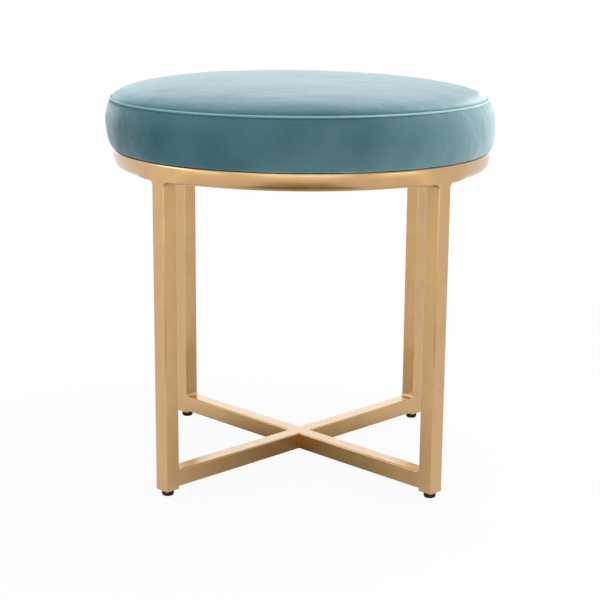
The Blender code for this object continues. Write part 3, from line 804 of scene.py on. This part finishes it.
def thread_tree():
    """A ridge wound about Z, as a screw's thread."""
    tree, given, end = new_tree(
        "thread",
        (
            ("Turns", "NodeSocketFloat"),
            ("Radius", "NodeSocketFloat"),
            ("Rise", "NodeSocketFloat"),
            ("Depth", "NodeSocketFloat"),
        ),
    )
    wind = tree.nodes.new("GeometryNodeCurveSpiral")
    wind.inputs["Resolution"].default_value = 20
    upright = tree.nodes.new("GeometryNodeSetCurveNormal")
    upright.mode = "Z_UP"
    ridge = tree.nodes.new("GeometryNodeCurvePrimitiveCircle")
    ridge.inputs["Resolution"].default_value = 4
    body = tree.nodes.new("GeometryNodeCurveToMesh")
    body.inputs["Fill Caps"].default_value = True
    tree.links.new(given.outputs["Turns"], wind.inputs["Rotations"])
    tree.links.new(given.outputs["Radius"], wind.inputs["Start Radius"])
    tree.links.new(given.outputs["Radius"], wind.inputs["End Radius"])
    tree.links.new(given.outputs["Rise"], wind.inputs["Height"])
    tree.links.new(given.outputs["Depth"], ridge.inputs["Radius"])
    tree.links.new(wind.outputs["Curve"], upright.inputs["Curve"])
    tree.links.new(upright.outputs["Curve"], body.inputs["Curve"])
    tree.links.new(ridge.outputs["Curve"], body.inputs["Profile Curve"])
    tree.links.new(body.outputs["Mesh"], end)
    return tree


def grown(tree, **values):
    """Plain mesh that a tree makes from its named inputs."""
    holder = bpy.data.objects.new("holder", bpy.data.meshes.new("holder"))
    bpy.context.scene.collection.objects.link(holder)
    modifier = holder.modifiers.new("nodes", "NODES")
    modifier.node_group = tree
    for item in tree.interface.items_tree:
        if item.in_out == "INPUT":
            modifier[item.identifier] = values[item.name]
    graph = bpy.context.evaluated_depsgraph_get()
    mesh = bpy.data.meshes.new_from_object(holder.evaluated_get(graph))
    bpy.data.objects.remove(holder)
    return mesh


def in_a_row(tree, mesh, count, radius, scatter, finish):
    """A mesh about the axis set round a circle by the row tree."""
    piece = bpy.data.objects.new("piece", mesh)
    bpy.context.scene.collection.objects.link(piece)
    row = grown(tree, Piece=piece, Count=count, Radius=radius, Scatter=scatter, Finish=finish)
    bpy.data.objects.remove(piece)
    return row


def threaded(low, high, radius, finish):
    """Core of a screw between two heights, with its thread's crest at a radius."""
    root = radius - THREAD_DEPTH
    core = [(0, low), (root, low), (root, high - THREAD_DEPTH), (root - THREAD_DEPTH, high), (0, high)]
    rise = high - low - 2 * THREAD_PITCH
    ridge = grown(
        THREAD, Turns=rise / THREAD_PITCH, Radius=root - THREAD_SINK, Rise=rise,
        Depth=THREAD_DEPTH + THREAD_SINK, Finish=finish,
    )
    ridge.transform(Matrix.Translation((0, 0, low + THREAD_PITCH)))
    return together("threaded", finished(turned(core, steps=24), "core"), ridge)


def screw_head(low, high, radius):
    """Low round head with a hexagon socket in its underside: (radius, height, share of hexagon) by rows."""
    floor = low + SOCKET_DEPTH
    half = SOCKET_ACROSS / 2
    bend = radius * HEAD_ROUND
    rows = [(0, high, 0), (radius - HEAD_EDGE, high, 0), (radius, high - HEAD_EDGE, 0)]
    rows += [(r, z, 0) for r, z in arc((radius - bend, high - HEAD_FLANK), bend, 0, -HEAD_SWEEP, 6)]
    rows += [(half * SOCKET_MOUTH, low, 0), (half, low, 1), (half, floor, 1), (0, floor + SOCKET_POINT, 0)]
    loops = []
    for r, z, hexagon in rows:
        loop = []
        for turn in np.linspace(0, math.tau, SCREW_STEPS, endpoint=False):
            across = 1 / math.cos((turn + math.pi / 6) % (math.pi / 3) - math.pi / 6)
            reach = r * (across if hexagon else 1)
            loop.append((reach * math.cos(turn), reach * math.sin(turn), z))
        loops.append(loop)
    return finished(skinned(loops), "head")


ZINC = zinc_plate()
ROUND_ROW = row_tree()
THREAD = thread_tree()
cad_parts["seat_board"].material_slots[0].material = birch_ply()
for side in SIDES:
    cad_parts[f"tee_nut_{side}"].material_slots[0].material = ZINC
screw_low, screw_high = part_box("seat_screw_right")
washer_low, washer_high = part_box("washer_right")
screw_radius = (screw_high.y - screw_low.y) / 2
washer_radius = (washer_high.y - washer_low.y) / 2
fixing_circle = (screw_low.x + screw_high.x) / 2
head_top = washer_low.z - WASHER_GAP
screw = together(
    "screw", screw_head(screw_low.z, head_top, screw_radius),
    threaded(head_top - SHANK_SINK, screw_high.z, THREAD_RADIUS, ZINC),
)
screws = in_a_row(ROUND_ROW, screw, len(SIDES), fixing_circle, math.pi, ZINC)
placed("seat_screws", screws, ZINC, "frame", "fixing_steel", *(f"seat_screw_{side}" for side in SIDES))
rim = [
    (WASHER_HOLE, washer_low.z),
    (washer_radius - WASHER_EDGE, washer_low.z),
    (washer_radius, washer_low.z + WASHER_EDGE),
    (washer_radius, washer_high.z),
    (WASHER_HOLE, washer_high.z),
]
washer = finished(turned(rim, SCREW_STEPS), "washer")
washers = in_a_row(ROUND_ROW, washer, len(SIDES), fixing_circle, 0.0, ZINC)
placed("seat_washers", washers, ZINC, "frame", "fixing_steel", *(f"washer_{side}" for side in SIDES))


# Dust cloth: black spun-bonded cloth over the underside of the board, inside the ring. Wire staples all round
# hold it, and it hangs a little slack between them.
DUST_LOW, DUST_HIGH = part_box("dust_cover")
DUST_RADIUS = DUST_HIGH.x
DUST_Z = (DUST_LOW.z + DUST_HIGH.z) / 2
DUST_CENTRE = 0.002
DUST_ROWS = 40
DUST_SLACK = 0.0007
SLACK_SCALE = 14
STAPLE_PULL = 0.25
STAPLE_COUNT = 44
STAPLE_WIDTH = 0.010
STAPLE_WIRE = 0.0005
STAPLE_BEND = 0.0008
STAPLE_INSET = 0.004
STAPLE_STRAY = 0.12


def dust_mesh():
    """Round cloth with faint slack and pulls towards the staples."""
    path = np.array([(radius, DUST_Z) for radius in np.linspace(DUST_CENTRE, DUST_RADIUS, DUST_ROWS)])
    rows = around(path, np.linspace(0, math.tau, 4 * STAPLE_COUNT, endpoint=False))
    for point in rows.reshape(-1, 3):
        rim = math.hypot(point[0], point[1]) / DUST_RADIUS
        pull = math.cos(STAPLE_COUNT * math.atan2(point[1], point[0])) * rim**12
        slack = 0.5 + 0.5 * noise.noise(Vector(point) * SLACK_SCALE)
        point[2] -= DUST_SLACK * (slack * (1 - rim**4) - STAPLE_PULL * pull)
    return lattice(rows, "dust_cloth")


def black_cloth():
    """Spun-bonded black fibre."""
    finish, shader = new_finish("black_cloth", Roughness=0.92, Specular_IOR_Level=0.2)
    fibre = uneven(finish, Scale=700.0)
    toned(finish, shader, fibre, low=(0.010, 0.010, 0.011), high=(0.026, 0.026, 0.027))
    grained(finish, shader, uneven(finish, Scale=1100.0), strength=0.4, depth=0.0003)
    return finish


def staple_mesh():
    """Wire staple lying along Y under the cloth, its two legs driven up through it."""
    half = STAPLE_WIDTH / 2
    corner = arc((half - STAPLE_BEND, DUST_LOW.z + STAPLE_BEND), STAPLE_BEND, -90, 0, 4)
    bend = [(0, y, z) for y, z in corner]
    line = [(x, -y, z) for x, y, z in reversed(bend)] + bend
    line = [(0, -half, DUST_HIGH.z), *line, (0, half, DUST_HIGH.z)]
    section = [(1, 0), (0.7, 0.7), (0, 1), (-0.7, 0.7), (-1, 0), (-0.7, -0.7), (0, -1), (0.7, -0.7)]
    loops = []
    for index, point in enumerate(line):
        before, after = line[max(index - 1, 0)], line[min(index + 1, len(line) - 1)]
        along = (Vector(after) - Vector(before)).normalized()
        out = Vector((1, 0, 0)).cross(along)
        loops.append([Vector(point) + STAPLE_WIRE * (Vector((x, 0, 0)) + out * u) for x, u in section])
    return finished(skinned(loops), "staple")


dust = placed("dust_cloth", dust_mesh(), black_cloth(), "frame", "lining_cloth", "dust_cover")
staples = in_a_row(ROUND_ROW, staple_mesh(), STAPLE_COUNT, DUST_RADIUS - STAPLE_INSET, STAPLE_STRAY, ZINC)
placed("dust_staples", staples, ZINC, "frame", "fixing_steel")


# Glides: moulded black nylon pads that stand on the floor, each on a threaded steel stud that screws in and
# out of the zinc plated end plate in the leg.
FOOT_STEPS = 48
FOOT_ROUND = 0.0022
FOOT_EDGE = 0.0005
STUD_HEAD = 0.002


def black_nylon():
    """Moulded nylon, slightly mottled in gloss."""
    finish, shader = new_finish("black_nylon", Specular_IOR_Level=0.2)
    mottle = uneven(finish, Scale=220.0)
    toned(finish, shader, mottle, low=(0.004, 0.004, 0.005), high=(0.009, 0.009, 0.010))
    gloss = uneven(finish, Scale=400.0, Low=0.42, High=0.58)
    finish.node_tree.links.new(gloss, shader.inputs["Roughness"])
    return finish


def foot_mesh(low, high):
    """Pad with a round sole edge and a crisp upper one."""
    radius = (high.x - low.x) / 2
    outline = [(0, low.z)]
    outline += arc((radius - FOOT_ROUND, low.z + FOOT_ROUND), FOOT_ROUND, -90, 0, 8)
    outline += arc((radius - FOOT_EDGE, high.z - FOOT_EDGE), FOOT_EDGE, 0, 90, 3)
    outline.append((0, high.z))
    return finished(turned(outline, FOOT_STEPS), "foot")


def stud_mesh(low, high):
    """Stud with a flat head, which the pad is moulded round."""
    radius = (high.x - low.x) / 2
    head = [(0, low.z), (radius, low.z), (radius, low.z + STUD_HEAD), (0, low.z + STUD_HEAD)]
    shank = threaded(low.z + STUD_HEAD - SHANK_SINK, high.z, THREAD_RADIUS, ZINC)
    return together("stud", finished(turned(head, steps=32), "stud_head"), shank)


NYLON = black_nylon()
for corner in CORNERS:
    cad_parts[f"leg_plug_{corner}"].material_slots[0].material = ZINC
    for kind, mesh_of, finish, body, slot in (
        ("foot", foot_mesh, NYLON, "pad", "glide_nylon"),
        ("stud", stud_mesh, ZINC, "screw", "fixing_steel"),
    ):
        low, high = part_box(f"glide_{kind}_{corner}")
        mesh = mesh_of(low, high)
        mesh.transform(Matrix.Translation(((low.x + high.x) / 2, (low.y + high.y) / 2, 0)))
        placed(
            f"{kind}_{body}_{corner}", mesh, finish, f"glide_{corner}_{body}", slot,
            f"glide_{kind}_{corner}",
        )


# Studio: a pale floor that keeps a soft shadow, white all round, and large soft lamps. Out of sight, a dark
# card hangs in front for the ring's lower edge to mirror, and a black flag shades the cushion's left.
FLOOR_REACH = 6.0
FLOOR_GREY = 0.42
AMBIENT = (0.53, 0.55, 0.56)
CARD_PLACE = (0, -0.455, 0.12)
CARD_SIZE = (0.36, 0.41)
FLAG_PLACE = (-0.8, -0.1, 0.40)
FLAG_SIZE = (0.8, 1.6)
SEEN = (0.94, 0.30, 1.1)
MIRRORED = (0.0, 0.08, 0.28)
SEAT_CENTRE = Vector((0, 0, 0.42))


def pale_floor():
    """Floor that shows its own shading under the stool and turns to plain white further off. SEEN and
    MIRRORED hold the share of white at the middle, and the distances between which that grows to all."""
    finish = bpy.data.materials.new("pale_floor")
    finish.use_nodes = True
    tree = finish.node_tree
    shader = tree.nodes["Principled BSDF"]
    shader.inputs["Base Color"].default_value = (FLOOR_GREY, FLOOR_GREY, FLOOR_GREY, 1)
    shader.inputs["Roughness"].default_value = 0.9
    shader.inputs["Specular IOR Level"].default_value = 0.0
    glow = tree.nodes.new("ShaderNodeEmission")
    path = tree.nodes.new("ShaderNodeLightPath")
    place = tree.nodes.new("ShaderNodeTexCoord")
    away = tree.nodes.new("ShaderNodeVectorMath")
    away.operation = "LENGTH"
    tree.links.new(place.outputs["Object"], away.inputs[0])
    shares = []
    for (middle, near, far), rays in (
        (SEEN, ("Is Camera Ray",)),
        (MIRRORED, ("Is Glossy Ray", "Is Transmission Ray")),
    ):
        fade = tree.nodes.new("ShaderNodeMapRange")
        fade.interpolation_type = "SMOOTHSTEP"
        fade.inputs["From Min"].default_value = near
        fade.inputs["From Max"].default_value = far
        fade.inputs["To Min"].default_value = middle
        tree.links.new(away.outputs["Value"], fade.inputs["Value"])
        for ray in rays:
            share = tree.nodes.new("ShaderNodeMath")
            share.operation = "MULTIPLY"
            tree.links.new(fade.outputs["Result"], share.inputs[0])
            tree.links.new(path.outputs[ray], share.inputs[1])
            shares.append(share.outputs["Value"])
    most = shares[0]
    for share in shares[1:]:
        larger = tree.nodes.new("ShaderNodeMath")
        larger.operation = "MAXIMUM"
        tree.links.new(most, larger.inputs[0])
        tree.links.new(share, larger.inputs[1])
        most = larger.outputs["Value"]
    mix = tree.nodes.new("ShaderNodeMixShader")
    tree.links.new(most, mix.inputs["Fac"])
    tree.links.new(shader.outputs["BSDF"], mix.inputs[1])
    tree.links.new(glow.outputs["Emission"], mix.inputs[2])
    tree.links.new(mix.outputs["Shader"], tree.nodes["Material Output"].inputs["Surface"])
    return finish


def on_stage(name, shape, finish):
    """A mesh of the studio."""
    mesh = bpy.data.meshes.new(name)
    shape.to_mesh(mesh)
    shape.free()
    mesh.materials.append(finish)
    thing = bpy.data.objects.new(name, mesh)
    bpy.context.scene.collection.objects.link(thing)
    return thing


floor_shape = bmesh.new()
bmesh.ops.create_circle(floor_shape, cap_ends=True, radius=FLOOR_REACH, segments=96)
on_stage("floor", floor_shape, pale_floor())
for name, place, size, tilt, grey, for_metal in (
    ("dark_card", CARD_PLACE, CARD_SIZE, 0, 0.11, True),
    ("black_flag", FLAG_PLACE, FLAG_SIZE, math.pi / 2, 0.0, False),
):
    card_shape = bmesh.new()
    bmesh.ops.create_grid(card_shape, x_segments=1, y_segments=1, size=0.5)
    stand = Matrix.Translation(place) @ Matrix.Rotation(tilt, 4, "Y") @ Matrix.Diagonal((*size, 1, 1))
    bmesh.ops.transform(card_shape, matrix=stand, verts=card_shape.verts)
    card = on_stage(name, card_shape, new_finish(name, Base_Color=(grey, grey, grey, 1), Roughness=1.0)[0])
    card.visible_camera = False
    card.visible_shadow = False
    card.visible_diffuse = not for_metal
    card.visible_glossy = for_metal


def white_world():
    """White to the camera and in reflections, and a dimmer light on everything else."""
    world = bpy.data.worlds.new("white_studio")
    world.use_nodes = True
    tree = world.node_tree
    back = tree.nodes["Background"]
    path = tree.nodes.new("ShaderNodeLightPath")
    seen = path.outputs["Is Camera Ray"]
    for ray in ("Is Glossy Ray", "Is Transmission Ray"):
        larger = tree.nodes.new("ShaderNodeMath")
        larger.operation = "MAXIMUM"
        tree.links.new(seen, larger.inputs[0])
        tree.links.new(path.outputs[ray], larger.inputs[1])
        seen = larger.outputs["Value"]
    mix = tree.nodes.new("ShaderNodeMix")
    mix.data_type = "RGBA"
    mix.inputs["A"].default_value = (*AMBIENT, 1)
    mix.inputs["B"].default_value = (1, 1, 1, 1)
    tree.links.new(seen, mix.inputs["Factor"])
    tree.links.new(mix.outputs["Result"], back.inputs["Color"])
    return world


bpy.context.scene.world = white_world()


def soft_lamp(name, place, size, power, tint=(1, 1, 1), on_cloth=True, in_metal=True):
    """Lamp that faces the seat, out of the camera's sight, and may be kept off the cloth or the metal."""
    data = bpy.data.lights.new(name, "AREA")
    data.shape = "RECTANGLE"
    data.size, data.size_y = size
    data.energy = power
    data.color = tint
    lamp = bpy.data.objects.new(name, data)
    bpy.context.scene.collection.objects.link(lamp)
    lamp.location = place
    lamp.rotation_euler = (SEAT_CENTRE - lamp.location).to_track_quat("-Z", "Y").to_euler()
    lamp.visible_camera = False
    lamp.visible_diffuse = on_cloth
    lamp.visible_glossy = in_metal


soft_lamp("overhead", (0.3, 0.25, 2.3), (2.2, 2.0), 55)
soft_lamp("front_top", (-0.3, -2.0, 2.1), (3.0, 1.8), 22)
soft_lamp("backdrop", (0.0, 2.0, 1.0), (3.2, 1.2), 28, in_metal=False)
soft_lamp("right_high", (1.6, 0.5, 1.2), (1.0, 0.8), 20, tint=(1.0, 0.93, 0.92), in_metal=False)
soft_lamp("right_fill", (1.3, -0.4, 0.03), (1.1, 0.2), 32, tint=(1.0, 0.88, 0.82), in_metal=False)
soft_lamp("left_fill", (-1.7, -0.8, 0.1), (1.4, 0.3), 20, tint=(0.4, 0.9, 1.0), in_metal=False)
soft_lamp("back_glow", (0.0, 2.6, 0.8), (4.0, 1.4), 9, on_cloth=False)
soft_lamp("left_high", (-2.0, -0.4, 0.9), (0.8, 0.8), 9, on_cloth=False)
soft_lamp("left_window", (-1.9, -1.2, 0.3), (1.0, 0.5), 2.9, on_cloth=False)
soft_lamp("right_window", (1.9, -1.2, 0.3), (1.0, 0.5), 3.6, on_cloth=False)
soft_lamp("front_strip", (0.0, -2.6, 0.25), (2.6, 0.5), 9, on_cloth=False)


# Camera: a long lens well in front of the stool and a little above its seat. It looks down at the middle of
# the legs, and is rolled by half a degree.
CAMERA_PLACE = Vector((-0.00044, -1.77004, 0.61306))
CAMERA_PITCH = math.radians(13.292)
CAMERA_ROLL = math.radians(0.4752)
CAMERA_LENS = 89.927

ahead = Vector((0, math.cos(CAMERA_PITCH), -math.sin(CAMERA_PITCH)))
level_up = Vector((0, math.sin(CAMERA_PITCH), math.cos(CAMERA_PITCH)))
rolled_right = Vector((1, 0, 0)) * math.cos(CAMERA_ROLL) + level_up * math.sin(CAMERA_ROLL)
rolled_up = level_up * math.cos(CAMERA_ROLL) - Vector((1, 0, 0)) * math.sin(CAMERA_ROLL)
turn = Matrix((rolled_right, rolled_up, -ahead)).transposed().to_4x4()
camera_data = bpy.data.cameras.new("camera")
camera_data.lens = CAMERA_LENS
camera_data.sensor_width = 36
camera = bpy.data.objects.new("camera", camera_data)
bpy.context.scene.collection.objects.link(camera)
camera.matrix_world = Matrix.Translation(CAMERA_PLACE) @ turn
bpy.context.scene.camera = camera
bpy.context.scene.view_settings.view_transform = "Standard"
